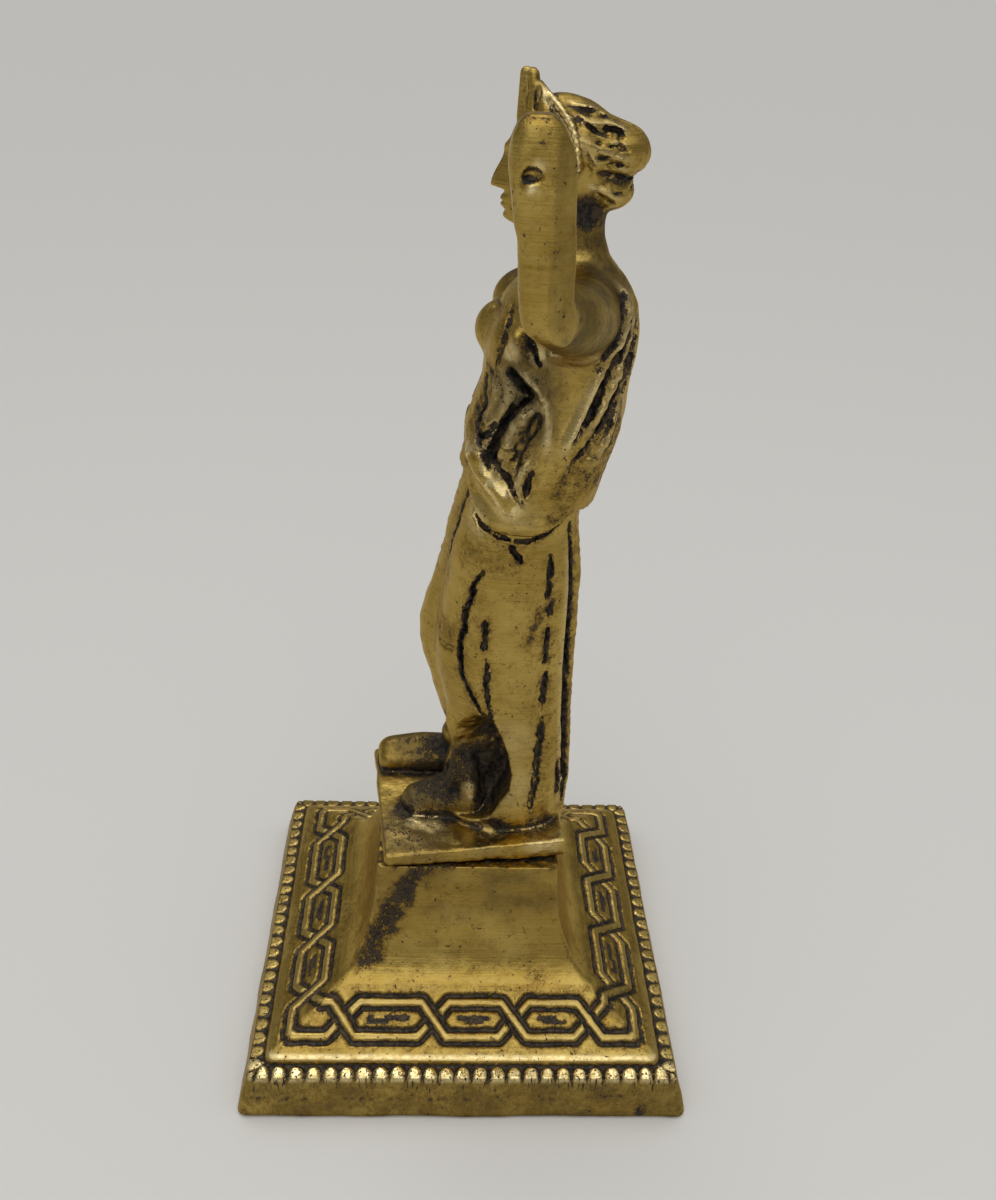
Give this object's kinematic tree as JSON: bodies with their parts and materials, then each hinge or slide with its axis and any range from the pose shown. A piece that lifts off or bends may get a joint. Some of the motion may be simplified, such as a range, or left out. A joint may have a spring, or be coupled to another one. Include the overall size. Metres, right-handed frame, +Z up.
{
  "type": "cast brass allegorical figure on a plinth",
  "caption": "Cast brass figure of a draped standing woman with a diadem and one raised arm, on a square plinth with a beaded edge and an interlace band.",
  "frame": {"origin": "centre of the plinth's flat underside", "axes": "+Z up, the figure faces -Y, its raised left arm is on the +X side"},
  "size_m": [0.072, 0.072, 0.152],
  "materials": {
    "figure_brass": "cast, filed and rubbed golden brass with dark brown patina in the folds",
    "plinth_brass": "cast olive-gold brass, brushed, with blackened interlace grooves and worn bright beads"
  },
  "bodies": {
    "root": {"figure": "figure_brass", "plinth": "plinth_brass"}
  },
  "joints": []
}
